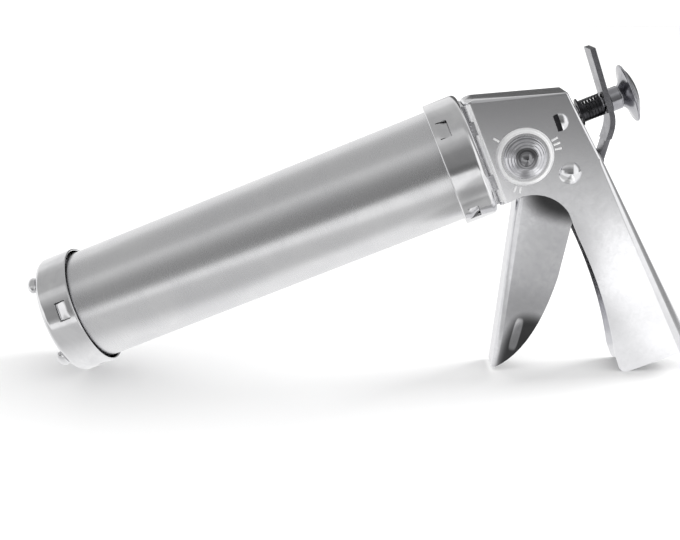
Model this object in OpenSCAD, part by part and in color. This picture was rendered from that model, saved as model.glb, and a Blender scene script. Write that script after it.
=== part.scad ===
// Trigger-operated cookie press, resting on the rim of its front cap and the toe of its grip.
// The modules are drawn along the barrel: x runs from the mouth to the knob, z is up, y goes away
// from the dial. pose() then leans the whole press as it stands on a table.

/* [Barrel and caps] */
// Diameter of the forming disc
disc_d = 55; // [54.4:0.1:55.6]
// Thickness of the forming disc
disc_t = 0.8; // [0.5:0.1:0.8]
// Outside diameter of the barrel
barrel_d = 54; // [53:0.1:54]
// Wall of the barrel
barrel_wall = 1; // [0.8:0.1:1]
// Outside diameter of the front cap
cap_d = 58.8; // [58.6:0.1:59.2]
// Length of the front cap
cap_l = 16.8; // [15.5:0.1:18]
// Diameter of the mouth in the front cap
mouth_d = 47.8; // [42:0.1:48]
// Outside diameter of the rear collar
collar_d = 59.6; // [59.4:0.1:60]
// Length of the rear collar
collar_l = 16.4; // [16:0.1:18]
// Distance from the mouth to the back of the rear collar
press_l = 218.6; // [218.4:0.1:218.8]
// Sheet thickness of the cap and the collar
cap_wall = 0.9; // [0.8:0.1:1]
// Length of the domed feet on the cap
foot_l = 9.2; // [8:0.1:9.6]

/* [Head and grip] */
// Width across the two side plates
head_w = 20; // [20:0.1:20.4]
// Sheet thickness of the head
head_wall = 1; // [0.8:0.1:1]
// Depth of the grip below the barrel's axis
grip_depth = 128.4; // [120:0.1:132]
// Height of the trigger rivet, below the axis
pivot_drop = 23.2; // [23:0.1:23.4]
// Distance from the mouth to the trigger rivet
pivot_x = 255.2; // [255:0.1:255.4]
// Distance from the mouth to the dial
dial_x = 238.2; // [238:0.1:238.4]
// Height of the dial, below the axis
dial_drop = 8; // [8:0.1:8.2]
// Diameter of the dial
dial_d = 20; // [18:0.1:21]

/* [Trigger] */
// Outside width of the trigger
trigger_w = 17.6; // [17.4:0.1:17.6]
// Sheet thickness of the trigger
trigger_wall = 1.2; // [1:0.1:1.2]
// Lean of the trigger's front wall from the square to the barrel
trigger_lean = 27.6; // [27:0.1:28]

/* [Plunger] */
// Diameter of the plunger rod
rod_d = 6; // [5:0.1:6]
// Running clearance of the plunger, on the radius
rod_gap = 0.08; // [0.04:0.01:0.1]
// Diameter of the plunger knob
knob_d = 27.6; // [20:0.1:30]

/* [Hidden] */

$fn = 96;
slack = 0.05;

// Front cap, from its face back
cap_corner = 3;
seat_h = 0.4;
disc_x = cap_wall + seat_h;
barrel_x = disc_x + disc_t;
barrel_r = barrel_d / 2;
bore_r = barrel_r - barrel_wall;
tongue_angle = 18;
tongue_l = 5.2;
tongue_x = 8.6;
tongue_turn = 73;
lug_angle = 26;
lug_l = 3;
lug_r = cap_d / 2 - cap_wall - 0.3;
foot_turn = 33;
foot_ring = 26.65;
foot_r = 2.65;
foot_out = 4;

// Rear collar, the bracket behind it and the head's front wall
collar_wall = 1;
collar_turn = 46.5;
bracket_t = 1.2;
bracket_x = press_l;
head_x = press_l + bracket_t;
barrel_end = press_l - collar_wall - 0.05;

// Corners of the head in the plane of its side plates
head_front_top = 25.7;
head_back_top = [266.3, 13.2];
head_back_low = [270.9, -21];
head_low = -25.9;
front_fold = 3.6;
side_fold = 1.3;
half_w = head_w / 2;
lip_end = 230.5;

// Grip: its back fold widens towards the toe
grip_top = -20;
grip_fold_top = 2;
grip_fold_toe = 9.4;
grip_back_top = 271;
grip_back_toe = 284.6;
grip_front_toe = 240;
toe_x = 250;
toe_r = 3.5;
arch_r = 20;
arch_x = 229;

// The press stands on the cap's rim and the toe of the grip
rim = [cap_corner, cap_corner - cap_d / 2];
toe = [toe_x, toe_r - grip_depth];
reach = toe - rim;
tilt = atan2(-reach[1], reach[0]) + asin((toe_r - cap_corner) / norm(reach));
lift = cap_corner - rim[0] * sin(tilt) - rim[1] * cos(tilt);
grip_heel = grip_back_toe * cos(tilt) + grip_depth * sin(tilt);
foot_turn_y = sin(tilt) * sin(foot_turn);
foot_tip = (foot_out - foot_r) * cos(tilt) + foot_ring * cos(foot_turn) * sin(tilt)
    + foot_bow(0) - (foot_bow(0) - foot_r) * sqrt(1 - foot_turn_y * foot_turn_y);
shift = (grip_heel - foot_tip) / 2;

// Mechanism inside the head
pivot_r = 3;
sleeve_r = 4.2;
dial_boss_r = 13.2;
dial_boss_h = 1.6;
dial_shaft_r = 2.2;
plate_t = 2.5;
plate_back = 256.9;
plate_front = plate_back - plate_t;
nose_r = 2;
nose = [plate_back + nose_r + 0.05, -9];
spring_wire = 1.2;
release_t = 2.5;
release_w = 14;
release_face = 281;
release_back = release_face + release_t;
release_bend = 15;
release_sweep = 36;
release_low = -4;
release_leg = 17;
release_hinge = [271, -24.35];
neck_x = release_back + 0.45;
neck_r = 5.5;
knob_x = 289.6;
knob_end = 297.2;
piston_x = 5;
washer_x = 269.2;

module pose() translate([-shift, 0, lift]) rotate([0, -tilt, 0]) children();

// A 2D shape of (radius, distance along x) turned about the barrel's axis
module turned() rotate([0, 90, 0]) rotate_extrude() children();

// The same, over a part of a turn that starts at the top and goes towards the dial side
module turned_part(start, sweep)
    rotate([180 + start, 0, 0]) rotate([0, 90, 0]) rotate_extrude(angle = sweep) children();

// A rod along x
module rod(x0, x1, r) translate([x0, 0, 0]) rotate([0, 90, 0]) cylinder(r = r, h = x1 - x0);

// A rod across the head, from y0 to y1
module cross(x, z, y0, y1, r) translate([x, y0, z]) rotate([-90, 0, 0]) cylinder(r = r, h = y1 - y0);

// A side outline in (x, z), y0 to y1 across
module side(y0, y1) translate([0, y1, 0]) rotate([90, 0, 0]) linear_extrude(y1 - y0) children();

function arc(c, r, a0, a1, n = 12) =
    [for (i = [0:n]) c + r * [cos(a0 + (a1 - a0) * i / n), sin(a0 + (a1 - a0) * i / n)]];

function bend(p0, p1, p2, n = 12) =
    [for (i = [0:n]) let (t = i / n) (1 - t) * (1 - t) * p0 + 2 * t * (1 - t) * p1 + t * t * p2];

// Round wire along x with closed ends, as one swept tube
module coil(x0, x1, mean_r, wire, turns, steps = 16, sides = 8) {
    count = turns * steps;
    lead = x1 - x0 - wire;
    ring = function(i) let (
        t = i / count,
        x = x0 + wire / 2 + lead * (t - 0.06 * sin(360 * t)),
        a = 360 * i / steps)
        [for (k = [0:sides - 1]) let (
            b = 360 * k / sides,
            r = mean_r + wire / 2 * cos(b))
            [x + wire / 2 * sin(b), r * sin(a), r * cos(a)]];
    points = [for (i = [0:count]) each ring(i)];
    walls = [for (i = [0:count - 1], k = [0:sides - 1]) let (
        a = i * sides + k,
        b = i * sides + (k + 1) % sides)
        each [[a, b, b + sides], [a, b + sides, a + sides]]];
    first = [for (k = [sides - 1:-1:0]) k];
    last = [for (k = [0:sides - 1]) count * sides + k];
    polyhedron(points, concat(walls, [first, last]));
}

// Half section of a cup whose closed end is at 0
module cup_section(r, l, wall, corner, hole) difference() {
    union() {
        translate([hole, 0]) square([r - corner - hole, l]);
        translate([hole, corner]) square([r - hole, l - corner]);
        translate([r - corner, corner]) circle(corner);
    }
    translate([hole - 1, wall]) union() {
        square([r - corner - hole + 1, l]);
        translate([0, corner - wall]) square([r - wall - hole + 1, l]);
        translate([r - corner - hole + 1, corner - wall]) circle(corner - wall);
    }
}

// Lanced tongues: a window in the wall, and the tab that is bent in from its rim side
module tongue_windows(r, wall, x, turn) for (k = [0:3])
    turned_part(turn - tongue_angle / 2 + 90 * k, tongue_angle)
        translate([r - 2 * wall, x]) square([3 * wall, tongue_l]);

module tongue_tabs(r, wall, x, turn, drop) for (k = [0:3])
    turned_part(turn - tongue_angle / 2 + 0.8 + 90 * k, tongue_angle - 1.6)
        polygon([[r - wall - drop, x + 0.1], [r - drop, x + 0.1], [r, x + tongue_l + 0.4],
                 [r - wall, x + tongue_l + 0.4]]);

module barrel() color("silver") pose() {
    rod_wall = bore_r;
    difference() {
        union() {
            rod(barrel_x, barrel_end, barrel_r);
            for (k = [0:3]) {
                turned_part(tongue_turn - lug_angle / 2 + 90 * k, lug_angle)
                    translate([bore_r + 0.2, tongue_x - 0.3 - lug_l]) square([lug_r - bore_r - 0.2, lug_l]);
                turned_part(collar_turn - lug_angle / 2 + 90 * k, lug_angle)
                    translate([bore_r + 0.2, press_l - tongue_x + 0.3]) square([lug_r - bore_r - 0.2, lug_l]);
            }
        }
        rod(0, press_l, rod_wall);
    }
}

// Hollow of the front cap, from the disc's seat back
module cap_hollow() {
    inner = cap_d / 2 - cap_wall;
    translate([0, disc_x]) square([inner - cap_corner, cap_l]);
    translate([mouth_d / 2 + 1.6, cap_wall]) square([inner - cap_corner + cap_wall - mouth_d / 2 - 1.6, cap_l]);
    translate([0, cap_corner]) square([inner, cap_l]);
    translate([cap_d / 2 - cap_corner, cap_corner]) circle(cap_corner - cap_wall);
}

// Radius of the arc that runs from end to end of a foot
function foot_bow(inset) =
    (pow(foot_r - inset, 2) + pow(foot_l / 2 - inset, 2)) / (2 * (foot_r - inset));

module cap_feet(inset) for (k = [0:3]) rotate([foot_turn + 90 * k, 0, 0])
    translate([foot_r - foot_out, 0, foot_ring]) rotate([90, 0, 0]) rotate_extrude($fn = 48) polygon(
        let (bow = foot_bow(inset), tip = asin((foot_l / 2 - inset) / bow))
        arc([foot_r - inset - bow, 0], bow, -tip, tip, 8));

module front_cap() color("gainsboro") pose() {
    difference() {
        union() {
            turned() union() {
                square([cap_d / 2 - cap_corner, cap_l]);
                translate([0, cap_corner]) square([cap_d / 2, cap_l - cap_corner]);
                translate([cap_d / 2 - cap_corner, cap_corner]) circle(cap_corner);
            }
            cap_feet(0);
        }
        turned() cap_hollow();
        cap_feet(cap_wall);
        rod(-10, cap_l, mouth_d / 2);
        tongue_windows(cap_d / 2, cap_wall, tongue_x, tongue_turn);
    }
    tongue_tabs(cap_d / 2, cap_wall, tongue_x, tongue_turn, 1.2);
    turned() translate([cap_d / 2 - 0.5, cap_l - 0.5]) circle(0.58);
}

module forming_disc() color("lightgray") pose() difference() {
    rod(disc_x, disc_x + disc_t, disc_d / 2);
    for (k = [0:5]) rotate([60 * k, 0, 0]) {
        translate([0, 0, 14]) rod(0, 4, 2.6);
        translate([0, -1.1, 7]) cube([4, 2.2, 7]);
        translate([0, 0, 7]) rod(0, 4, 1.1);
    }
    rod(0, 4, 1.6);
}

module rear_collar() color("gainsboro") pose() difference() {
    union() {
        difference() {
            translate([press_l, 0, 0]) mirror([1, 0, 0]) turned() union() {
                cup_section(collar_d / 2, collar_l, collar_wall, cap_corner, 5);
                translate([collar_d / 2 - 0.55, collar_l - 0.55]) circle(0.6);
            }
            tongue_windows(collar_d / 2, collar_wall, press_l - tongue_x - tongue_l, collar_turn);
        }
        translate([press_l, 0, 0]) mirror([1, 0, 0])
            tongue_tabs(collar_d / 2, collar_wall, tongue_x, collar_turn, 1.5);
    }
    for (y = [-4.5, 4.5], z = [-16, 16]) translate([0, y, z]) rod(press_l - 5, press_l + 5, 1.6);
}

module bracket_tabs(grow) for (s = [-1, 1], z = [[9.6, 16.3], [-18.1, -10.4]])
    translate([bracket_x, s > 0 ? half_w - 2.2 - grow : -half_w + 0.2 - grow, z[0] - grow])
        cube([4.2 + grow, 2 + 2 * grow, z[1] - z[0] + 2 * grow]);

module head_bracket() color("silver") pose() difference() {
    union() {
        translate([bracket_x, -half_w + 0.2, -24.6]) cube([bracket_t, head_w - 0.4, 49.4]);
        bracket_tabs(0);
    }
    rod(bracket_x - 1, head_x + 1, 5);
    for (y = [-4.5, 4.5], z = [-16, 16]) translate([0, y, z]) rod(press_l - 5, press_l + 5, 1.6);
    for (s = [-1, 1], z = [-17.2, -15.4, -13.6, -11.8, 10.4, 12.2, 14])
        translate([head_x, s * (half_w - 0.2), z + 0.6]) rotate([0, 0, 45]) cube([0.5, 0.5, 0.6], center = true);
}

module head_rivets() color("silver") pose() for (y = [-4.5, 4.5], z = [-16, 16]) translate([0, y, z]) {
    rod(press_l - collar_wall, head_x + head_wall, 1.55);
    rod(press_l - collar_wall - 0.8, press_l - collar_wall, 3);
    rod(head_x + head_wall, head_x + head_wall + 0.8, 2.6);
}

// The head as a box with rounded folds, drawn smaller all round by inset
module head_form(inset) hull() {
    half = half_w - inset;
    edge = max(side_fold - inset, 0.3);
    for (step = [0, 45, 90]) {
        for (s = [-1, 1]) translate([head_x + front_fold, s * (half_w - front_fold), head_low + inset])
            cylinder(r = front_fold - inset - edge * (1 - cos(step)),
                h = head_front_top - head_low - 2 * inset - edge * (1 - sin(step)), $fn = 32);
        for (p = [head_back_top, head_back_low, [head_back_low[0], head_low + 2 * side_fold]])
            translate([p[0] - side_fold, 0, p[1] - side_fold]) rotate([90, 0, 0]) cylinder(
                r = max(edge * cos(step), 0.02), h = 2 * (half - edge * (1 - sin(step))),
                center = true, $fn = 24);
    }
}

// The grip as a channel whose back fold widens towards the toe
module grip_form(inset) hull() for (end = [
        [grip_top, lip_end, grip_back_top, grip_fold_top],
        [-grip_depth - 2, grip_front_toe, grip_back_toe, grip_fold_toe]])
    translate([0, 0, end[0]]) linear_extrude(0.1) union() {
        for (s = [-1, 1]) translate([end[2] - end[3], s * (half_w - end[3])])
            circle(end[3] - inset, $fn = 48);
        translate([end[1] + inset, -half_w + inset])
            square([end[2] - end[3] - end[1] - inset, head_w - 2 * inset]);
    }

// Everything in front of the grip and below the head
module grip_front_cut() polygon(concat(
    [[221, head_low - 0.6], [226.5, head_low + 0.3]],
    arc([arch_x, head_low + 0.5 - arch_r], arch_r, 84, 12),
    bend([249, -54], [252.4, -88], [246.6, -118], 10),
    arc([toe_x, toe_r - grip_depth], toe_r, 180, 270, 6),
    [[300, -grip_depth - 0.4], [300, -160], [221, -160]]));

module dial_ticks() for (g = [[128, 1], [238, 2], [1, 3]], i = [1:g[1]])
    translate([dial_x, 0, -dial_drop])
        rotate([0, -(g[0] + 9 * (i - (g[1] + 1) / 2)), 0])
            translate([dial_boss_r + 1, -half_w - 0.3, -0.4]) cube([3, 0.8, 0.8]);

module handle_frame() color("lightsteelblue") pose() difference() {
    union() {
        difference() {
            union() {
                head_form(0);
                grip_form(0);
            }
            head_form(head_wall);
            grip_form(head_wall + slack);
            side(-30, 30) grip_front_cut();
            translate([222, -0.2, 5]) cube([42.5, 0.4, 40]);
            translate([lip_end + 0.4, slack + head_wall - half_w, head_low - 1])
                cube([36, head_w - 2 * head_wall - 2 * slack, 3]);
        }
        translate([dial_x, -half_w, -dial_drop]) rotate([90, 0, 0])
            rotate_extrude() polygon([[0, -0.4], [dial_boss_r, -0.4], [dial_boss_r, 0],
                                      [dial_boss_r - 1.8, dial_boss_h], [0, dial_boss_h]]);
        dial_ticks();
        // Lanced ears inside both plates are the rear stops of the drive plate
        for (s = [-1, 1]) translate([259.4, s * (half_w - 1), 1.2]) rotate([0, 0, s * 24])
            translate([-2.6, -0.5 + (s > 0 ? -0.4 : 0.4), -3.9]) cube([4.4, 1, 7.8]);
    }
    translate([dial_x, -half_w + head_wall + 0.1, -dial_drop]) rotate([90, 0, 0])
        cylinder(r1 = dial_boss_r - 0.4, r2 = dial_boss_r - 2.5, h = head_wall + dial_boss_h - 0.7);
    cross(dial_x, -dial_drop, -30, 30, dial_shaft_r + slack);
    cross(pivot_x, -pivot_drop, -30, 30, pivot_r);
    rod(head_x - 1, head_x + 2, 5);
    rod(262, 275, 3.7);
    for (y = [-4.5, 4.5], z = [-16, 16]) translate([0, y, z]) rod(press_l - 5, press_l + 5, 1.6);
    bracket_tabs(slack);
    translate([267.5, -5.4, release_hinge[1] - 3.4]) cube([6, 10.8, 6.8]);
    for (s = [-1, 1]) translate([257.2, s * half_w - 2, -2.9]) cube([1.6, 4, 8.2]);
}

module rod_bush() color("goldenrod") pose() difference() {
    union() {
        rod(press_l - collar_wall - 1.5, press_l - collar_wall, 8);
        rod(press_l - collar_wall, head_x + 3, 5);
    }
    rod(press_l - 10, head_x + 10, rod_d / 2 + rod_gap);
}

module plunger_rod() color("silver") pose() rod(piston_x + 1.2, knob_end - 3, rod_d / 2);

module piston_cup() color("whitesmoke") pose() {
    difference() {
        translate([piston_x, 0, 0]) turned() cup_section(bore_r - 0.1, 12, 1.2, 2.5, 0);
        rod(0, 30, 2.5);
    }
}

module piston_backing() color("silver") pose() difference() {
    rod(piston_x + 1.2, piston_x + 3, 20);
    rod(0, 30, rod_d / 2);
    for (k = [0:5]) rotate([60 * k + 30, 0, 0]) translate([0, 0, 13]) rod(0, 30, 2.5);
}

module piston_hub() color("silver") pose() difference() {
    turned() polygon([[0, piston_x + 3], [9, piston_x + 3], [9, piston_x + 4.6], [6, piston_x + 6.2],
                      [6, piston_x + 11], [5.2, piston_x + 11.8], [0, piston_x + 11.8]]);
    rod(0, 30, rod_d / 2);
}

module piston_screw() color("silver") pose() difference() {
    union() {
        rod(piston_x - 1.8, piston_x, 4.6);
        rod(piston_x, piston_x + 1.2, 2.5);
    }
    translate([piston_x - 2.5, -5, -0.6]) cube([1.5, 10, 1.2]);
}

module knob_neck() color("silver") pose() difference() {
    rod(neck_x, knob_x, neck_r);
    rod(0, 300, rod_d / 2);
}

module rod_knob() color("gainsboro") pose() difference() {
    turned() polygon(concat(
        [[0, knob_x], [neck_r, knob_x]],
        bend([neck_r + 0.3, knob_x + 0.4], [8, knob_x + 2.6], [knob_d / 2 - 0.6, knob_x + 3]),
        arc([knob_d / 2 - 0.6, knob_x + 3.6], 0.6, -90, 90, 8),
        bend([knob_d / 2 - 1.2, knob_x + 4.4], [6, knob_end], [0, knob_end])));
    rod(0, knob_end - 3, rod_d / 2);
}

// Side outline of the trigger, from the tip up the rear edge, round the rivet and over the nose
module trigger_outline() polygon(concat(
    bend([186, -102.4], [208.5, -103.4], [233.7, -69.8]),
    arc([pivot_x, -pivot_drop], 7, -36, 28, 5),
    arc(nose, nose_r, -10, 190, 10),
    [[pivot_x + 3.2, -16.4], [pivot_x - 8, -18], [lip_end + 1.2, head_low - 0.1], [222, head_low - 0.1],
     [180, -100]]));

module trigger_lever() color("lightslategray") pose() difference() {
    intersection() {
        translate([187.8, 0, -103.3]) rotate([0, trigger_lean, 0]) translate([0, 0, -20])
            linear_extrude(150) difference() {
                trigger_section(0);
                trigger_section(trigger_wall);
            }
        side(-30, 30) trigger_outline();
    }
    cross(pivot_x, -pivot_drop, -30, 30, pivot_r + slack);
}

module trigger_section(inset) {
    fold = 3 - inset;
    for (s = [-1, 1]) translate([3, s * (trigger_w / 2 - 3)]) circle(fold, $fn = 48);
    translate([inset, -trigger_w / 2 + 3]) square([90, trigger_w - 6]);
    translate([3, -trigger_w / 2 + inset]) square([90, trigger_w - 2 * inset]);
}

module trigger_sleeve() color("silver") pose() difference() {
    half = trigger_w / 2 - trigger_wall;
    cross(pivot_x, -pivot_drop, -half, half, sleeve_r);
    cross(pivot_x, -pivot_drop, -30, 30, pivot_r + slack);
}

module pivot_rivet() color("gainsboro") pose() {
    cross(pivot_x, -pivot_drop, -half_w, half_w, pivot_r);
    for (s = [-1, 1]) translate([pivot_x, s * half_w, -pivot_drop]) rotate([-90 * s, 0, 0])
        rotate_extrude() intersection() {
            translate([0, 2.4 - 7]) circle(7);
            square([5.25, 5]);
        }
}

module drive_plate() color("dimgray") pose() difference() {
    translate([plate_front, -8.6, -13.5]) cube([plate_t, 17.2, 25.5]);
    rod(plate_front - 1, plate_back + 1, rod_d / 2 + rod_gap);
    for (s = [-1, 1]) translate([plate_front - 1, s * 8.6 - 2, 8.5]) cube([plate_t + 2, 4, 6]);
}

module drive_spring() color("dimgray") pose()
    coil(head_x + 3, plate_front, 4.7, spring_wire, 11);

module thickness_dial() color("gainsboro") pose()
    translate([dial_x, -half_w - dial_boss_h, -dial_drop]) rotate([90, 0, 0]) difference() {
        rotate_extrude() polygon(concat(
            [[0, 0], [dial_d / 2, 0], [dial_d / 2, 1.2], [dial_d / 2 - 0.5, 1.7], [dial_d / 2 - 1.5, 1.7],
             [dial_d / 2 - 1.9, 2.5], [dial_d / 2 - 2.9, 2.6], [dial_d / 2 - 3.3, 3.3], [dial_d / 2 - 4.2, 3.4],
             [dial_d / 2 - 4.6, 4], [dial_d / 2 - 5.3, 4.1]],
            arc([0, 1.8], 4.2, 32, 90, 10)));
        translate([0, 0, -1]) cylinder(r = dial_shaft_r, h = 3.5);
        translate([0, dial_d / 2 - 0.6, 1]) cylinder(r = 0.5, h = 2, $fn = 24);
    }

module dial_shaft() color("silver") pose()
    cross(dial_x, -dial_drop, -half_w - dial_boss_h - 2.5, half_w + 1.6, dial_shaft_r);

// Each cam stops the drive plate sooner or later: round part, shallow flat and deep flat
module stop_cams() color("goldenrod") pose() for (y = [-7.3, 5.6]) difference() {
    cross(dial_x, -dial_drop, y, y + 1.7, 9.5);
    for (flat = [[0, 8.2], [-120, 6.9]]) translate([dial_x, y - 1, -dial_drop]) rotate([0, flat[0], 0])
        translate([flat[1], 0, -12]) cube([8, 4, 24]);
    cross(dial_x, -dial_drop, -30, 30, dial_shaft_r);
}

module dial_retainer() color("silver") pose() difference() {
    cross(dial_x, -dial_drop, half_w + 0.02, half_w + 1, 4.6);
    cross(dial_x, -dial_drop, 0, 30, dial_shaft_r);
}

module spring_washer() color("silver") pose() difference() {
    rod(washer_x, washer_x + 0.8, 6.6);
    rod(washer_x - 1, washer_x + 3, 3.7);
}

module release_outline() {
    c = [release_face + release_t / 2 - release_bend, release_low];
    leg = -release_leg * [sin(release_sweep), cos(release_sweep)];
    inner = arc(c, release_bend - release_t / 2, 0, -release_sweep, 10);
    outer = arc(c, release_bend + release_t / 2, -release_sweep, 0, 10);
    polygon(concat([[release_face + 1.1, 26.8]], inner, [inner[10] + leg, outer[0] + leg], outer,
        [[release_back + 1.1, 26.6]]));
}

// Its narrow leg goes through the slot in the grip and rocks there on a rolled bead
module release_plate() color("darkgray") pose() {
    difference() {
        intersection() {
            side(-release_w / 2, release_w / 2) release_outline();
            union() {
                translate([240, -release_w / 2, -16]) cube([60, release_w, 60]);
                translate([240, -5, -60]) cube([60, 10, 60]);
            }
        }
        rod(270, 290, 4.4);
    }
    cross(release_hinge[0], release_hinge[1], -5, 5, 1.6);
}

module release_spring() color("#303030") pose()
    coil(washer_x + 0.8, release_face, 5.2, 1.2, 6);

barrel();
front_cap();
forming_disc();
rear_collar();
head_bracket();
head_rivets();
handle_frame();
rod_bush();
plunger_rod();
piston_cup();
piston_backing();
piston_hub();
piston_screw();
knob_neck();
rod_knob();
trigger_lever();
trigger_sleeve();
pivot_rivet();
drive_plate();
drive_spring();
thickness_dial();
dial_shaft();
stop_cams();
dial_retainer();
spring_washer();
release_plate();
release_spring();
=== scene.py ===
import math

import bmesh
import bpy
from mathutils import Matrix, Vector


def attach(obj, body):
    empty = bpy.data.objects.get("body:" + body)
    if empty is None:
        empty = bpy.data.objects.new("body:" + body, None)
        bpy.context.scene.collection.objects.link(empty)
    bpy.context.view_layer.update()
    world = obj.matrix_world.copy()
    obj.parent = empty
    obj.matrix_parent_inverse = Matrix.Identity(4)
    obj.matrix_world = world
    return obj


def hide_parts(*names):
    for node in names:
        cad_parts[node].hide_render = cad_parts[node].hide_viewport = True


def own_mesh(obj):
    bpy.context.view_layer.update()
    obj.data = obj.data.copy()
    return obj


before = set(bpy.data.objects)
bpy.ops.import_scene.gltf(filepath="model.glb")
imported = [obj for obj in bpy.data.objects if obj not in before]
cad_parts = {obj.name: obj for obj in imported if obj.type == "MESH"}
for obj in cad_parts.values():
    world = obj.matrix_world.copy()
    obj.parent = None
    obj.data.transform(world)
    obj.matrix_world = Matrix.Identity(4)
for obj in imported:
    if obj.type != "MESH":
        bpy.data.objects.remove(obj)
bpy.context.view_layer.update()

# The press is drawn along its barrel in mm, then leans on the rim of its cap and the toe of its grip
press = dict(tilt=math.radians(21.849126), lift=26.387119, shift=149.832855)
toRow = (
    Matrix.Scale(0.001, 4)
    @ Matrix.Translation((-press["shift"], 0, press["lift"]))
    @ Matrix.Rotation(-press["tilt"], 4, "Y")
)
toPress = toRow.inverted()


def linear(hexColour):
    levels = [int(hexColour[i : i + 2], 16) / 255 for i in (1, 3, 5)]
    return [v / 12.92 if v <= 0.04045 else ((v + 0.055) / 1.055) ** 2.4 for v in levels] + [1]


def addNode(tree, kind, settings=None, links=None):
    node = tree.nodes.new("ShaderNode" + kind)
    for key, value in (settings or {}).items():
        if isinstance(key, int) or key in node.inputs:
            node.inputs[key].default_value = value
        else:
            setattr(node, key, value)
    for key, socket in (links or {}).items():
        tree.links.new(socket, node.inputs[key])
    return node


# grain: how often the tool marks repeat along x, y and z of the barrel, per metre
# clouds: size of the smudges and the uneven polish, per metre
finishes = {
    # extruded aluminium tube, satin after a light lathe polish: soft long reflections, faint rings
    "satinAluminium": dict(light="#E9E9EA", dark="#DFDFE1", rough=0.27, uneven=0.04, grain=(2600, 60, 60),
                           marks=0.08, depth=0.000012, clouds=38, slot="barrel_aluminium"),
    # spun aluminium cap, polished on the lathe: brighter and sharper than the tube
    "spunAluminium": dict(light="#EFEFF0", dark="#DEDEE0", rough=0.13, uneven=0.07, grain=(2200, 60, 60),
                          marks=0.12, depth=0.000010, clouds=60, slot="cap_plate"),
    # rolled aluminium sheet, stamped: dull with a rolling grain
    "rolledAluminium": dict(light="#DDDDDF", dark="#C9C9CC", rough=0.33, uneven=0.08, grain=(200, 2400, 200),
                            marks=0.2, depth=0.000012, clouds=60, slot="disc_aluminium"),
    # nickel on pressed steel: mirror with a fine orange peel and handling haze
    "nickelledSteel": dict(light="#EAEAEC", dark="#E3E3E5", rough=0.15, uneven=0.03, grain=(1100, 1100, 1100),
                           marks=0.10, depth=0.000014, clouds=260, slot="head_plate"),
    # the same nickel on the trigger, a little darker and duller
    # patches of painted light: (place, half size, lean, how much light is left). On the trigger they are painted shade
    # under the head, a dark painted reflection at the tip, and a bright oval at the tip, a painted highlight
    "triggerNickelPaintedLight": dict(light="#E4E4E6", dark="#D9D9DC", rough=0.17, uneven=0.04, grain=(900, 900, 900),
                          marks=0.10, depth=0.000014, clouds=260, slot="head_plate",
                          paintedLight=(((0.1065, 0, 0.101), (0.031, 0.05, 0.028), 10, 0.08),
                                 ((0.0824, 0, 0.0065), (0.0170, 0.05, 0.0225), 15, 0.12),
                                 ((0.0740, -0.01, 0.0192), (0.0021, 0.006, 0.0085), 13, 4.6))),
    # less than half metal, so that the pressed ring, marks and lips look white from every side: a painted highlight on
    # the nickelled plate
    "paintedHighlightNickel": dict(light="#F8F8F8", dark="#EFEFF0", rough=0.3, uneven=0.04, grain=(900, 900, 900),
                        marks=0.06, depth=0.00001, clouds=200, slot="head_plate", metal=0.45),
    # nickel of the knob, dulled by the palm
    "wornNickel": dict(light="#BDBDC1", dark="#9C9CA1", rough=0.16, uneven=0.05, grain=(300, 300, 300),
                       marks=0.1, depth=0.000008, clouds=160, slot="dial_nickel"),
    # zinc on cold rolled steel: grey, slightly cloudy
    "zincSteel": dict(light="#9C9CA0", dark="#76767B", rough=0.28, uneven=0.12, grain=(900, 900, 900),
                      marks=0.2, depth=0.000012, clouds=120, slot="plate_steel"),
    # zinc plated fasteners
    "zincFastener": dict(light="#CCCCCF", dark="#A6A6AA", rough=0.22, uneven=0.1, grain=(900, 900, 900),
                         marks=0.15, depth=0.00001, clouds=160, slot="fastener_steel"),
    # ground and plated rod: bright with rings of grinding
    "groundRod": dict(light="#DCDCDF", dark="#BDBDC1", rough=0.16, uneven=0.06, grain=(3200, 60, 60),
                      marks=0.2, depth=0.000008, clouds=90, slot="rod_steel"),
    # domed nickel rivet, a small mirror
    "mirrorNickel": dict(light="#F0F0F1", dark="#DDDDE0", rough=0.07, uneven=0.05, grain=(800, 800, 800),
                         marks=0.06, depth=0.000008, clouds=140, slot="rivet_nickel"),
    # turned nickel dial and knob: polished, with turning rings; the middle of the dial is darkened, a painted shade
    "turnedNickel": dict(light="#DADADD", dark="#C4C4C8", rough=0.07, uneven=0.03, grain=(300, 300, 300),
                         marks=0.1, depth=0.000008, clouds=120, slot="dial_nickel",
                         paintedLight=(((0.0742, -0.0145, 0.1076), (0.0052, 0.02, 0.0052), 0, 0.42),)),
    # turned brass bush
    "turnedBrass": dict(light="#D9BC7A", dark="#B8985A", rough=0.24, uneven=0.08, grain=(2400, 90, 90),
                        marks=0.2, depth=0.00001, clouds=120, slot="bush_brass"),
    # oiled spring wire, drawn and blued: nearly black with a thin shine
    "oiledWire": dict(light="#4B4B4E", dark="#29292B", rough=0.3, uneven=0.1, grain=(700, 700, 700),
                      marks=0.2, depth=0.000008, clouds=300, slot="spring_steel"),
}


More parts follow.
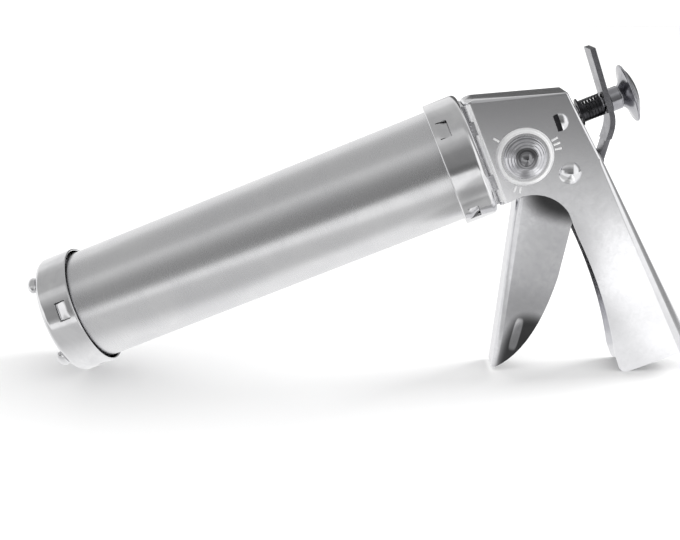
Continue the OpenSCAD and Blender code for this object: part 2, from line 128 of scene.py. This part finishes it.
def makeFinish(name, spec):
    material = bpy.data.materials.new(name)
    material.use_nodes = True
    tree = material.node_tree
    tree.nodes.clear()
    coords = addNode(tree, "TexCoord")
    along = addNode(tree, "Mapping", {"Rotation": (0, press["tilt"], 0)}, {"Vector": coords.outputs["Object"]})
    stretch = addNode(tree, "Mapping", {"Scale": spec["grain"]}, {"Vector": along.outputs["Vector"]})
    marks = addNode(tree, "TexNoise", {"Scale": 1, "Detail": 3, "Roughness": 0.6},
                    {"Vector": stretch.outputs["Vector"]})
    clouds = addNode(tree, "TexNoise", {"Scale": spec["clouds"], "Detail": 5, "Roughness": 0.62, "Distortion": 0.6},
                     {"Vector": along.outputs["Vector"]})
    patchy = addNode(tree, "MapRange", {"From Min": 0.32, "From Max": 0.7}, {"Value": clouds.outputs["Fac"]})
    colour = addNode(tree, "Mix", {"data_type": "RGBA", 6: linear(spec["light"]), 7: linear(spec["dark"])},
                     {0: patchy.outputs["Result"]})
    fine = addNode(tree, "MapRange", {"From Min": 0.25, "From Max": 0.75, "To Min": -spec["marks"] / 4,
                                      "To Max": spec["marks"] / 4}, {"Value": marks.outputs["Fac"]})
    broad = addNode(tree, "MapRange", {"From Min": 0.3, "From Max": 0.75, "To Min": spec["rough"] - spec["uneven"] / 2,
                                       "To Max": spec["rough"] + spec["uneven"] / 2},
                    {"Value": clouds.outputs["Fac"]})
    rough = addNode(tree, "Math", {"operation": "ADD", "use_clamp": True},
                    {0: broad.outputs["Result"], 1: fine.outputs["Result"]})
    bump = addNode(tree, "Bump", {"Strength": spec["marks"] * 2, "Distance": spec["depth"]},
                   {"Height": marks.outputs["Fac"]})
    tint = colour.outputs[2]
    # painted light: each patch scales the base colour towards its level, darker below one, brighter above one
    for place, half, lean, left in spec.get("paintedLight", ()):
        spot = addNode(tree, "Mapping", {"vector_type": "TEXTURE", "Location": place, "Scale": half,
                                         "Rotation": (0, math.radians(lean), 0)}, {"Vector": coords.outputs["Object"]})
        square = addNode(tree, "VectorMath", {"operation": "MULTIPLY"},
                         {0: spot.outputs["Vector"], 1: spot.outputs["Vector"]}).outputs["Vector"]
        far = addNode(tree, "VectorMath", {"operation": "DOT_PRODUCT"}, {0: square, 1: square})
        soft = addNode(tree, "MapRange", {"interpolation_type": "SMOOTHSTEP", "From Min": 0.3, "From Max": 1.3,
                                          "To Min": left, "To Max": 1.0}, {"Value": far.outputs["Value"]})
        tint = addNode(tree, "VectorMath", {"operation": "SCALE"},
                       {0: tint, "Scale": soft.outputs["Result"]}).outputs["Vector"]
    shader = addNode(tree, "BsdfPrincipled", {"Metallic": spec.get("metal", 1.0)},
                     {"Base Color": tint, "Roughness": rough.outputs["Value"],
                      "Normal": bump.outputs["Normal"]})
    addNode(tree, "OutputMaterial", {}, {"Surface": shader.outputs["BSDF"]})
    return material


finish = {name: makeFinish(name, spec) for name, spec in finishes.items()}
print("finishes made:", len(finish))


def soften(bm, width, sharp=30, segments=2):
    edges = [e for e in bm.edges if len(e.link_faces) == 2 and e.calc_face_angle(0) > math.radians(sharp)]
    if width and edges:
        bmesh.ops.bevel(bm, geom=edges, offset=width, offset_type="OFFSET", affect="EDGES", segments=segments,
                        profile=0.5, material=-1, clamp_overlap=True)


def addPiece(name, bm, body, finishName, stands=(), smooth=32):
    for face in bm.faces:
        face.smooth = True
    for edge in bm.edges:
        edge.smooth = edge.calc_face_angle(0) < math.radians(smooth)
    bmesh.ops.transform(bm, matrix=toRow, verts=bm.verts)
    mesh = bpy.data.meshes.new(name)
    bm.to_mesh(mesh)
    bm.free()
    piece = bpy.data.objects.new(name, mesh)
    bpy.context.scene.collection.objects.link(piece)
    mesh.materials.append(finish[finishName])
    even = piece.modifiers.new("flatFacesStayFlat", "WEIGHTED_NORMAL")
    even.keep_sharp = True
    even.weight = 80
    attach(piece, body)
    if stands:
        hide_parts(*stands)
    return piece


def fromCad(node):
    bm = bmesh.new()
    bm.from_mesh(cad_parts[node].data)
    bmesh.ops.transform(bm, matrix=toPress, verts=bm.verts)
    bmesh.ops.remove_doubles(bm, verts=bm.verts, dist=0.003)
    bmesh.ops.dissolve_degenerate(bm, edges=bm.edges, dist=0.002)
    bmesh.ops.dissolve_limit(bm, angle_limit=math.radians(0.4), verts=bm.verts, edges=bm.edges)
    return bm


def turned(profile, steps=144, closed=True, start=0.0, sweep=360.0):
    # profile is (along the barrel, radius) in mm, turned about the barrel's axis
    bm = bmesh.new()
    verts = [bm.verts.new((x, 0, r)) for x, r in profile]
    edges = [bm.edges.new(pair) for pair in zip(verts, verts[1:])]
    if closed:
        edges.append(bm.edges.new((verts[-1], verts[0])))
    # angles run from the top towards the dial side
    bmesh.ops.rotate(bm, verts=verts, cent=(0, 0, 0), matrix=Matrix.Rotation(math.radians(start), 3, "X"))
    bmesh.ops.spin(bm, geom=verts + edges, cent=(0, 0, 0), axis=(1, 0, 0), angle=math.radians(sweep),
                   steps=steps, use_merge=sweep == 360)
    bmesh.ops.remove_doubles(bm, verts=bm.verts, dist=0.001)
    bmesh.ops.recalc_face_normals(bm, faces=bm.faces)
    return bm


def arcOf(cx, cr, radius, fromAngle, toAngle, count=6):
    angles = [math.radians(fromAngle + (toAngle - fromAngle) * i / count) for i in range(count + 1)]
    return [(cx + radius * math.cos(a), cr + radius * math.sin(a)) for a in angles]


def joinInto(bm, other, move=None):
    mesh = bpy.data.meshes.new("joined")
    if move is not None:
        bmesh.ops.transform(other, matrix=move, verts=other.verts)
    other.to_mesh(mesh)
    other.free()
    bm.from_mesh(mesh)
    bpy.data.meshes.remove(mesh)


# The barrel, with four pressed lugs under each cup
barrel = dict(front=2.1, back=217.6, radius=27.0, wall=1.0, lugSweep=26, lugTurn=(73, 46.5), lugRadius=28.2)
profile = (
    arcOf(barrel["front"] + 0.4, barrel["radius"] - 0.4, 0.4, 180, 90, 4)
    + arcOf(barrel["back"] - 0.4, barrel["radius"] - 0.4, 0.4, 90, 0, 4)
    + [(barrel["back"], barrel["radius"] - barrel["wall"]), (barrel["front"], barrel["radius"] - barrel["wall"])]
)
tube = turned(profile, steps=180)
for x0, turn in ((5.3, barrel["lugTurn"][0]), (210.3, barrel["lugTurn"][1])):
    for quarter in range(4):
        lug = turned([(x0, 26.6), (x0 + 3, 26.6), (x0 + 3, barrel["lugRadius"]), (x0, barrel["lugRadius"])],
                     steps=12, start=turn - barrel["lugSweep"] / 2 + 90 * quarter, sweep=barrel["lugSweep"])
        bmesh.ops.holes_fill(lug, edges=lug.edges, sides=4)
        bmesh.ops.recalc_face_normals(lug, faces=lug.faces)
        soften(lug, 0.15)
        joinInto(tube, lug)
addPiece("barrelTube", tube, "barrel", "satinAluminium", ["barrel"])
print("barrel made")

# The front cap and the rear collar are spun cups with lanced tongues
def aroundAngle(point):
    return math.degrees(math.atan2(-point.y, point.z)) % 360  # from the top towards the dial side


def spunCup(spec):
    flip = -1 if spec["facesBack"] else 1
    bottom, corner, radius = spec["bottom"], spec["corner"], spec["radius"]
    tongue = spec["tongue"]
    x = lambda along: bottom + flip * along  # how far up the cup's side
    outline = [(x(0), spec["hole"]), (x(0), (spec["hole"] + radius - corner) / 2), (x(0), radius - corner)]
    outline += [(x(corner - corner * math.cos(math.radians(a))), radius - corner + corner * math.sin(math.radians(a)))
                for a in range(10, 100, 10)]
    outline += [(x(along), radius) for along in (tongue["low"], tongue["low"] + tongue["tall"], spec["tall"] - 0.5)]
    stepAngle = tongue["sweep"] / 6
    bm = turned(outline, steps=int(360 / stepAngle), closed=False, start=tongue["turn"] - tongue["sweep"] / 2)
    if spec["facesBack"]:
        bmesh.ops.recalc_face_normals(bm, faces=bm.faces)
    low, high = sorted((x(tongue["low"]), x(tongue["low"] + tongue["tall"])))
    windows = []
    for face in bm.faces:
        middle = face.calc_center_median()
        away = (aroundAngle(middle) - tongue["turn"] + 45) % 90 - 45
        if low < middle.x < high and abs(away) < tongue["sweep"] / 2:
            windows.append(face)
    bmesh.ops.delete(bm, geom=windows, context="FACES")
    outward = sum(f.normal.dot(Vector((0, *f.calc_center_median().yz))) for f in bm.faces)
    if outward < 0:
        bmesh.ops.reverse_faces(bm, faces=bm.faces)
    bmesh.ops.solidify(bm, geom=bm.faces, thickness=spec["wall"])
    bmesh.ops.recalc_face_normals(bm, faces=bm.faces)
    soften(bm, 0.13, sharp=50)
    bead = [(x(spec["tall"] - 0.55 + 0.55 * math.cos(a)), radius - 0.54 + 0.58 * math.sin(a))
            for a in (math.radians(30 * i) for i in range(12))]
    joinInto(bm, turned(bead, steps=144))
    # each tongue bends in from its root at the rim side, and its free edge points to the closed end
    drop, gap = tongue["drop"], 0.8
    for quarter in range(4):
        curve = [(i / 6, 0.5 - 0.5 * math.cos(math.pi * i / 6)) for i in range(7)]
        outer = [(x(tongue["low"] + 0.1 + (tongue["tall"] + 0.3) * t), radius - drop * (1 - e)) for t, e in curve]
        inner = [(along, r - spec["wall"]) for along, r in reversed(outer)]
        tab = turned(outer + inner, steps=10, start=tongue["turn"] - tongue["sweep"] / 2 + gap + 90 * quarter,
                     sweep=tongue["sweep"] - 2 * gap)
        bmesh.ops.holes_fill(tab, edges=tab.edges, sides=20)
        bmesh.ops.recalc_face_normals(tab, faces=tab.faces)
        soften(tab, 0.12, sharp=50)
        joinInto(bm, tab)
    return bm


frontCap = dict(facesBack=False, bottom=0.0, hole=23.9, radius=29.4, corner=3.0, wall=0.9, tall=16.8,
                tongue=dict(turn=73, sweep=18, low=8.6, tall=5.2, drop=1.2))
feet = dict(ring=26.65, turn=33, thick=2.65, half=4.6, out=3.92)
cap = spunCup(frontCap)
ledge = turned([(0.85, 23.9), (1.3, 23.9), (1.3, 25.4), (0.85, 25.6)], steps=120)
joinInto(cap, ledge)
for quarter in range(4):
    foot = bmesh.new()
    bmesh.ops.create_uvsphere(foot, u_segments=40, v_segments=24, radius=1, matrix=Matrix.Rotation(math.pi / 2, 4, "X"))
    bmesh.ops.scale(foot, vec=(feet["thick"], feet["half"], feet["thick"]), verts=foot.verts)
    bmesh.ops.translate(foot, vec=(feet["thick"] - feet["out"], 0, feet["ring"]), verts=foot.verts)
    bmesh.ops.rotate(foot, verts=foot.verts, cent=(0, 0, 0),
                     matrix=Matrix.Rotation(math.radians(feet["turn"] + 90 * quarter), 3, "X"))
    cut = bmesh.ops.bisect_plane(foot, geom=foot.verts[:] + foot.edges[:] + foot.faces[:], plane_co=(0.5, 0, 0),
                                 plane_no=(1, 0, 0), clear_outer=True)
    bmesh.ops.contextual_create(foot, geom=[e for e in cut["geom_cut"] if isinstance(e, bmesh.types.BMEdge)])
    joinInto(cap, foot)
addPiece("frontCap", cap, "front_cap", "spunAluminium", ["front_cap"])

rearCollar = dict(facesBack=True, bottom=218.6, hole=5.0, radius=29.8, corner=3.0, wall=1.0, tall=16.4,
                  tongue=dict(turn=46.5, sweep=18, low=8.6, tall=5.2, drop=1.5))
addPiece("rearCollar", spunCup(rearCollar), "frame", "spunAluminium", ["rear_collar"])
print("cap and collar made")

# The knob, the rivet and the dial are turned
across = Matrix.Rotation(-math.pi / 2, 4, "Z")  # turns a piece made along the barrel to point out of the dial side


def curveOf(p0, p1, p2, count=8):
    ts = [i / count for i in range(count + 1)]
    return [tuple((1 - t) ** 2 * a + 2 * t * (1 - t) * b + t * t * c for a, b, c in zip(p0, p1, p2)) for t in ts]


knob = dict(start=289.6, end=297.2, neckStart=283.95, neck=5.5, radius=13.8, lip=0.6)
rimX = knob["start"] + 3.6
profile = (
    [(knob["start"] - 0.1, 3.05), (knob["start"] - 0.1, knob["neck"] - 0.2)]
    + curveOf((knob["start"] + 0.2, knob["neck"] + 0.1), (knob["start"] + 2.5, 8),
              (rimX - knob["lip"], knob["radius"] - 0.6), 10)
    + arcOf(rimX, knob["radius"] - knob["lip"], knob["lip"], 170, 10, 8)
    + curveOf((rimX + 0.6, knob["radius"] - 1.1), (knob["end"], 7.5), (knob["end"], 0.02), 14)
)
addPiece("rodKnob", turned(profile, steps=128, closed=False), "plunger", "wornNickel", ["rod_knob"])
n0, n1, nr = knob["neckStart"], knob["start"], knob["neck"]
profile = [(n0, 3.02), (n0, nr - 0.35), (n0 + 0.35, nr), (n1 - 0.9, nr), (n1 - 0.55, nr - 0.35), (n1 - 0.3, nr - 0.35),
           (n1, nr - 0.1), (n1, 3.02)]
addPiece("knobNeck", turned(profile, steps=96), "plunger", "wornNickel", ["knob_neck"])

plateFace = 10.0  # from the middle of the press to the outside of the head's plates
rivet = dict(place=(255.2, -23.2), radius=3.0, head=5.25, dome=2.4, plate=plateFace)
sphere = (rivet["head"] ** 2 + rivet["dome"] ** 2) / (2 * rivet["dome"])
reach = math.degrees(math.asin(rivet["head"] / sphere))
profile = [
    (rivet["plate"] + sphere * math.cos(a) - (sphere - rivet["dome"]), max(sphere * math.sin(a), 0.01))
    for a in (math.radians(reach - reach * k / 12) for k in range(13))
]
pin = bmesh.new()
for side in (1, -1):
    head = turned([(rivet["plate"] - 0.1, rivet["head"] - 0.05)] + profile, steps=96, closed=False)
    if side < 0:
        bmesh.ops.scale(head, vec=(-1, 1, 1), verts=head.verts)
        bmesh.ops.reverse_faces(head, faces=head.faces)
    joinInto(pin, head)
joinInto(pin, turned([(-rivet["plate"], 0.01), (-rivet["plate"], rivet["radius"]), (rivet["plate"], rivet["radius"]),
                      (rivet["plate"], 0.01)], steps=64, closed=False))


def placeOf(spec):
    return Matrix.Translation((spec["place"][0], 0, spec["place"][1])) @ across


bmesh.ops.transform(pin, matrix=placeOf(rivet), verts=pin.verts)
addPiece("pivotRivet", pin, "frame", "mirrorNickel", ["pivot_rivet"])

dial = dict(place=(238.2, -8.0), base=11.6, radius=10.0, teeth=60, toothDepth=0.22)
steps = [(0, 0.25), (0.25, 0), (1.15, 0), (1.5, 0.3), (1.6, 0.7), (1.62, 1.4), (1.9, 1.65), (2.35, 1.8), (2.5, 2.05),
         (2.55, 2.8), (2.8, 3.05), (3.2, 3.2), (3.35, 3.4), (3.38, 4.1), (3.6, 4.35), (3.95, 4.5), (4.05, 4.75),
         (4.02, 5.3)]
rings = [(0, 2.3)] + [(out, dial["radius"] - inset) for out, inset in steps]
rings += [(1.8 + 4.2 * math.sin(math.radians(a)), 4.2 * math.cos(math.radians(a)) + 0.01) for a in range(33, 91, 6)]
face = turned([(dial["base"] + along, r) for along, r in rings], steps=dial["teeth"] * 2, closed=False)
for v in face.verts:  # fine teeth round the rim
    out = math.hypot(v.co.y, v.co.z)
    tooth = round(aroundAngle(v.co) / 360 * dial["teeth"] * 2)
    if out > dial["radius"] - 0.1 and tooth % 2:
        v.co.yz = v.co.yz * (1 - dial["toothDepth"] / out)
bmesh.ops.transform(face, matrix=placeOf(dial), verts=face.verts)
addPiece("thicknessDial", face, "dial", "turnedNickel", ["thickness_dial"], smooth=50)
print("knob, rivet and dial made")

# The other pieces keep their exact solids and get softened edges
copies = {
    "forming_disc": ("formingDisc", "front_cap", "rolledAluminium", 0.08),
    "head_bracket": ("headBracket", "frame", "zincFastener", 0.1),
    "head_rivets": ("headRivets", "frame", "zincFastener", 0.25),
    "handle_frame": ("handleFrame", "frame", "nickelledSteel", 0.18),
    "rod_bush": ("rodBush", "frame", "turnedBrass", 0.2),
    "plunger_rod": ("plungerRod", "plunger", "groundRod", 0.3),
    "piston_cup": ("pistonCup", "plunger", "rolledAluminium", 0.2),
    "piston_backing": ("pistonBacking", "plunger", "zincSteel", 0.15),
    "piston_hub": ("pistonHub", "plunger", "zincFastener", 0.2),
    "piston_screw": ("pistonScrew", "plunger", "zincFastener", 0.2),
    "trigger_lever": ("triggerLever", "trigger", "triggerNickelPaintedLight", 0.2),
    "trigger_sleeve": ("triggerSleeve", "trigger", "zincFastener", 0.15),
    "drive_plate": ("drivePlate", "drive_plate", "zincSteel", 0.15),
    "dial_shaft": ("dialShaft", "dial", "zincFastener", 0.15),
    "stop_cams": ("stopCams", "dial", "turnedBrass", 0.15),
    "dial_retainer": ("dialRetainer", "dial", "zincFastener", 0.15),
    "spring_washer": ("springWasher", "frame", "oiledWire", 0.15),
    "release_plate": ("releasePlate", "release", "zincSteel", 0.3),
}
for node, (name, body, finishName, edge) in copies.items():
    bm = fromCad(node)
    soften(bm, edge, sharp=40)
    addPiece(name, bm, body, finishName, [node])
print("pieces refined:", len(copies))


# the louvre on the dial side: a domed lip, and a thin dark piece over the slot that is cut in the plate, a painted
# shade for the inside of the slot
louvre = dict(slot=(256.3, 258.6), low=-2.8, high=5.2, lip=(3.8, 1.3, 4.2))
middle = (louvre["low"] + louvre["high"]) / 2
lip = bmesh.new()
bmesh.ops.create_uvsphere(lip, u_segments=40, v_segments=24, radius=1)
bmesh.ops.scale(lip, vec=louvre["lip"], verts=lip.verts)
bmesh.ops.translate(lip, vec=(louvre["slot"][1], -9.85, middle), verts=lip.verts)
cut = bmesh.ops.bisect_plane(lip, geom=lip.verts[:] + lip.edges[:] + lip.faces[:], plane_co=(louvre["slot"][1], 0, 0),
                             plane_no=(-1, 0, 0), clear_outer=True)
bmesh.ops.contextual_create(lip, geom=[e for e in cut["geom_cut"] if isinstance(e, bmesh.types.BMEdge)])
addPiece("louvreLip", lip, "frame", "nickelledSteel")
# painted shade: a thin dark piece with the dark wire's finish stands in for the shade inside the slot
slot = bmesh.new()
bmesh.ops.create_cube(slot, size=1)
slotSize = (louvre["slot"][1] - louvre["slot"][0], 0.5, louvre["high"] - louvre["low"])
bmesh.ops.scale(slot, vec=slotSize, verts=slot.verts)
bmesh.ops.translate(slot, vec=(sum(louvre["slot"]) / 2, -9.78, middle), verts=slot.verts)
soften(slot, 0.1)
addPiece("louvreSlotShade", slot, "frame", "oiledWire")

# the pressed ring round the dial, and the one, two and three strokes that stand for thin, medium and thick, white as a
# painted highlight
ring = [(-0.3, 13.5), (0.02, 13.6), (0.45, 13.4), (1.15, 12.9), (1.6, 12.2), (1.74, 11.7), (1.64, 11.25), (1.4, 11.0),
        (-0.3, 11.0)]
raised = turned([(plateFace + along, r) for along, r in ring], steps=120)
stroke = dict(size=(0.8, 1.0, 3.2), out=15.7, step=9, soft=0.25)
for turn, count in ((128, 1), (238, 2), (1, 3)):
    for i in range(count):
        bar = bmesh.new()
        bmesh.ops.create_cube(bar, size=1)
        bmesh.ops.scale(bar, vec=stroke["size"], verts=bar.verts)
        bmesh.ops.translate(bar, vec=(plateFace, 0, stroke["out"]), verts=bar.verts)
        soften(bar, stroke["soft"])
        angle = math.radians(turn + stroke["step"] * (i - (count - 1) / 2) - 90)
        bmesh.ops.rotate(bar, verts=bar.verts, cent=(0, 0, 0), matrix=Matrix.Rotation(angle, 3, "X"))
        joinInto(raised, bar)
bmesh.ops.transform(raised, matrix=placeOf(dial), verts=raised.verts)
addPiece("dialRing", raised, "frame", "paintedHighlightNickel", smooth=40)

# rolled lips of the bracket along the head's front folds, white as a painted highlight
lipBar = dict(x=222.75, y=6.65, low=-24.5, tall=49.0, radius=3.3, soft=0.5)
lips = bmesh.new()
for side in (-1, 1):
    bar = bmesh.new()
    bmesh.ops.create_circle(bar, cap_ends=True, segments=40, radius=lipBar["radius"])
    made = bmesh.ops.extrude_face_region(bar, geom=bar.faces[:])
    risen = [v for v in made["geom"] if isinstance(v, bmesh.types.BMVert)]
    bmesh.ops.translate(bar, vec=(0, 0, lipBar["tall"]), verts=risen)
    bmesh.ops.recalc_face_normals(bar, faces=bar.faces)
    bmesh.ops.translate(bar, vec=(lipBar["x"], side * lipBar["y"], lipBar["low"]), verts=bar.verts)
    soften(bar, lipBar["soft"], sharp=60, segments=3)
    joinInto(lips, bar)
addPiece("bracketLips", lips, "frame", "paintedHighlightNickel")

def spring(name, spec, body, stands):
    bm = bmesh.new()
    ring = bmesh.ops.create_circle(bm, segments=14, radius=spec["wire"] / 2,
                                   matrix=Matrix.Translation((spec["start"] + spec["wire"] / 2, 0, spec["mean"])))
    edges = list({e for v in ring["verts"] for e in v.link_edges})
    first = bmesh.ops.contextual_create(bm, geom=edges)["faces"]
    span = spec["end"] - spec["start"] - spec["wire"]
    closedPitch = spec["wire"] * 1.02
    free = (span - 2 * closedPitch) / (spec["turns"] - 2)
    perTurn = 40
    last = ring["verts"] + edges
    for turns, pitch in ((1, closedPitch), (spec["turns"] - 2, free), (1, closedPitch)):
        made = bmesh.ops.spin(bm, geom=last, cent=(0, 0, 0), axis=(1, 0, 0), dvec=(pitch / perTurn, 0, 0),
                              angle=math.radians(360 * turns), steps=perTurn * turns)
        last = made["geom_last"]
    bmesh.ops.contextual_create(bm, geom=[e for e in last if isinstance(e, bmesh.types.BMEdge)])
    bmesh.ops.remove_doubles(bm, verts=bm.verts, dist=0.001)
    bmesh.ops.recalc_face_normals(bm, faces=bm.faces)
    piece = addPiece(name, bm, body, "oiledWire", stands, smooth=50)
    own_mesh(piece)


driveSpring = dict(start=222.8, end=254.4, mean=4.7, wire=1.2, turns=11, anchor=222.8)
releaseSpring = dict(start=270.0, end=281.0, mean=5.2, wire=1.2, turns=7, anchor=270.0)
spring("driveSpring", driveSpring, "frame", ["drive_spring"])
spring("releaseSpring", releaseSpring, "frame", ["release_spring"])
print("springs wound")

# The white board that the press stands on
table = dict(left=-2.2, right=2.2, front=-0.56, notch=(0.10, 0.15), notchFront=-0.31, back=2.4)
bm = bmesh.new()
outline = [(table["left"], table["front"]), (table["notch"][0], table["front"]),
           (table["notch"][1], table["notchFront"]), (table["right"], table["notchFront"]),
           (table["right"], table["back"]), (table["left"], table["back"])]
bm.faces.new([bm.verts.new((x, y, 0)) for x, y in outline])
mesh = bpy.data.meshes.new("table")
bm.to_mesh(mesh)
bm.free()
tableTop = bpy.data.objects.new("table", mesh)
bpy.context.scene.collection.objects.link(tableTop)
paper = bpy.data.materials.new("matteWhiteBoard")
paper.use_nodes = True
tree = paper.node_tree
tree.nodes.clear()
coords = addNode(tree, "TexCoord")
fibre = addNode(tree, "TexNoise", {"Scale": 900, "Detail": 3}, {"Vector": coords.outputs["Object"]})
tone = addNode(tree, "Mix", {"data_type": "RGBA", 6: linear("#F6F6F6"), 7: linear("#F4F4F4")},
               {0: fibre.outputs["Fac"]})
# patches of the board that only reflections see, greyer or brighter than its real surface
shades = [
    # x, y, half width, half depth, turned by, how bright
    (-0.085, -0.100, 0.26, 0.075, 0, 0.62),
    (0.127, -0.205, 0.036, 0.170, 16.6, 0.58),
    (0.088, -0.030, 0.034, 0.034, 0, 0.5),
    (0.178, -0.190, 0.030, 0.190, 6, 1.4),
]
mirrored = None
for x, y, wide, deep, slant, level in shades:
    spot = addNode(tree, "Mapping", {"vector_type": "TEXTURE", "Location": (x, y, 0), "Scale": (wide, deep, 1),
                                     "Rotation": (0, 0, math.radians(slant))}, {"Vector": coords.outputs["Object"]})
    far = addNode(tree, "VectorMath", {"operation": "LENGTH"}, {0: spot.outputs["Vector"]})
    soft = addNode(tree, "MapRange", {"interpolation_type": "SMOOTHSTEP", "From Min": 0.62, "From Max": 1.15,
                                      "To Min": level, "To Max": 1.0}, {"Value": far.outputs["Value"]})
    mirrored = soft.outputs["Result"] if mirrored is None else addNode(
        tree, "Math", {"operation": "MULTIPLY"}, {0: mirrored, 1: soft.outputs["Result"]}).outputs[0]
mirroredTone = addNode(tree, "CombineColor", {}, {0: mirrored, 1: mirrored, 2: mirrored})
rays = addNode(tree, "LightPath")
board = addNode(tree, "BsdfPrincipled", {"Roughness": 0.7, "Specular IOR Level": 0.2}, {"Base Color": tone.outputs[2]})
# for reflections the board glows with these painted patches instead of being lit
glow = addNode(tree, "Emission", {}, {"Color": mirroredTone.outputs["Color"]})
either = addNode(tree, "MixShader", {}, {0: rays.outputs["Is Glossy Ray"], 1: board.outputs[0], 2: glow.outputs[0]})
addNode(tree, "OutputMaterial", {}, {"Surface": either.outputs[0]})
mesh.materials.append(paper)

# The room that only the metal mirrors: (angle from straight up towards the dial side, how bright).
# It is darker on the right than on the left.
roomRight = [(-180, 0.5), (-100, 0.6), (-92, 1.0), (-50, 0.82), (-38, 0.58), (-20, 0.45), (6, 0.43), (24, 0.46),
             (30, 0.6), (41, 0.58), (47, 0.47), (57, 0.36), (64, 0.25), (86, 0.22), (92, 0.15), (97, 0.17), (99, 0.22),
             (100.5, 0.32), (102.3, 0.62), (104.5, 1.0), (180, 1.0)]
roomLeft = [(-180, 0.5), (-100, 0.6), (-92, 1.0), (-50, 0.8), (-38, 0.56), (-20, 0.46), (6, 0.44), (24, 0.46),
            (30, 0.66), (41, 0.64), (47, 0.5), (57, 0.38), (64, 0.3), (86, 0.3), (92, 0.5), (100, 0.6), (180, 0.6)]
world = bpy.data.worlds.new("whiteStudio")
bpy.context.scene.world = world
world.use_nodes = True
tree = world.node_tree
tree.nodes.clear()
coords = addNode(tree, "TexCoord")
axes = addNode(tree, "SeparateXYZ", {}, {"Vector": coords.outputs["Generated"]})
front = addNode(tree, "Math", {"operation": "MULTIPLY", 1: -1.0}, {0: axes.outputs["Y"]})
turn = addNode(tree, "Math", {"operation": "ARCTAN2"}, {0: front.outputs[0], 1: axes.outputs["Z"]})
share = addNode(tree, "MapRange", {"From Min": -math.pi, "From Max": math.pi}, {"Value": turn.outputs[0]})
bands = []
for room in (roomLeft, roomRight):
    band = addNode(tree, "ValToRGB", {}, {"Fac": share.outputs["Result"]})
    ramp = band.color_ramp
    while len(ramp.elements) > 1:
        ramp.elements.remove(ramp.elements[-1])
    for i, (angle, level) in enumerate(room):
        at = (angle + 180) / 360
        stop = ramp.elements[0] if i == 0 else ramp.elements.new(at)
        stop.position = at
        stop.color = (level, level, level, 1)
    bands.append(band.outputs["Color"])
side = addNode(tree, "MapRange", {"interpolation_type": "SMOOTHSTEP", "From Min": -0.5, "From Max": -0.05},
               {"Value": axes.outputs["X"]})
walls = addNode(tree, "Mix", {"data_type": "RGBA"}, {0: side.outputs["Result"], 6: bands[0], 7: bands[1]})
# low bright walls to the left and to the right of the camera, and a dim one beside the press on the right
heights = addNode(tree, "MapRange", {"interpolation_type": "SMOOTHSTEP", "From Min": 0.36, "From Max": 0.12},
                  {"Value": axes.outputs["Z"]})
ahead = addNode(tree, "MapRange", {"interpolation_type": "SMOOTHSTEP", "From Min": 0.1, "From Max": 0.4},
                {"Value": front.outputs[0]})
beside = addNode(tree, "MapRange", {"interpolation_type": "SMOOTHSTEP", "From Min": 0.3, "From Max": 0.0},
                 {"Value": front.outputs[0]})
for low, high, level, where in ((-0.55, -0.8, 1.05, heights), (0.42, 0.6, 1.1, ahead), (0.6, 0.88, 0.34, beside)):
    end = addNode(tree, "MapRange", {"interpolation_type": "SMOOTHSTEP", "From Min": low, "From Max": high},
                  {"Value": axes.outputs["X"]})
    part = addNode(tree, "Math", {"operation": "MULTIPLY"}, {0: end.outputs["Result"], 1: where.outputs["Result"]})
    walls = addNode(tree, "Mix", {"data_type": "RGBA", 7: (level, level, level, 1)},
                    {0: part.outputs[0], 6: walls.outputs[2]})
# an unlit corner behind the press on the right
corner = addNode(tree, "VectorMath", {"operation": "DOT_PRODUCT", 1: Vector((0.36, 0.91, 0.2)).normalized()},
                 {0: coords.outputs["Generated"]})
lit = addNode(tree, "MapRange", {"interpolation_type": "SMOOTHSTEP", "From Min": math.cos(math.radians(26)),
                                 "From Max": math.cos(math.radians(17)), "To Min": 1.0, "To Max": 0.14},
              {"Value": corner.outputs["Value"]})
corner = addNode(tree, "VectorMath", {"operation": "SCALE"}, {0: walls.outputs[2], "Scale": lit.outputs["Result"]})
path = addNode(tree, "LightPath")
seen = addNode(tree, "Mix", {"data_type": "RGBA", 6: (1.13, 1.13, 1.13, 1)},
               {0: path.outputs["Is Glossy Ray"], 7: corner.outputs["Vector"]})
sky = addNode(tree, "Background", {"Strength": 1.0}, {"Color": seen.outputs[2]})
addNode(tree, "OutputWorld", {}, {"Surface": sky.outputs["Background"]})

lens = dict(place=(-0.004956, -0.493376, 0.200463), forward=(-0.01396, 0.95631, -0.29203),
            right=(0.99990, 0.01271, -0.00618), focal=55.64, sensor=36.0)
camera = bpy.data.objects.new("camera", bpy.data.cameras.new("camera"))
bpy.context.scene.collection.objects.link(camera)
camera.data.lens = lens["focal"]
camera.data.sensor_width = lens["sensor"]
camera.data.clip_start = 0.01
back = -Vector(lens["forward"]).normalized()
right = Vector(lens["right"]).normalized()
up = back.cross(right).normalized()
right = up.cross(back)
camera.matrix_world = Matrix.Translation(lens["place"]) @ Matrix((right, up, back)).transposed().to_4x4()
bpy.context.scene.camera = camera
bpy.context.scene.view_settings.view_transform = "Standard"

lamps = {
    # name: (place, aims at, width, height, watts)
    "windowLamp": ((1.3, 0.5, 0.9), (0, 0, 0.03), 0.7, 0.5, 16),
}
for name, (place, aim, width, height, power) in lamps.items():
    light = bpy.data.lights.new(name, "AREA")
    light.shape = "RECTANGLE"
    light.size, light.size_y, light.energy = width, height, power
    lamp = bpy.data.objects.new(name, light)
    bpy.context.scene.collection.objects.link(lamp)
    lamp.location = place
    lamp.rotation_euler = (Vector(aim) - Vector(place)).to_track_quat("-Z", "Y").to_euler()
    lamp.visible_glossy = False
print("table, light and camera set")

bpy.context.view_layer.update()
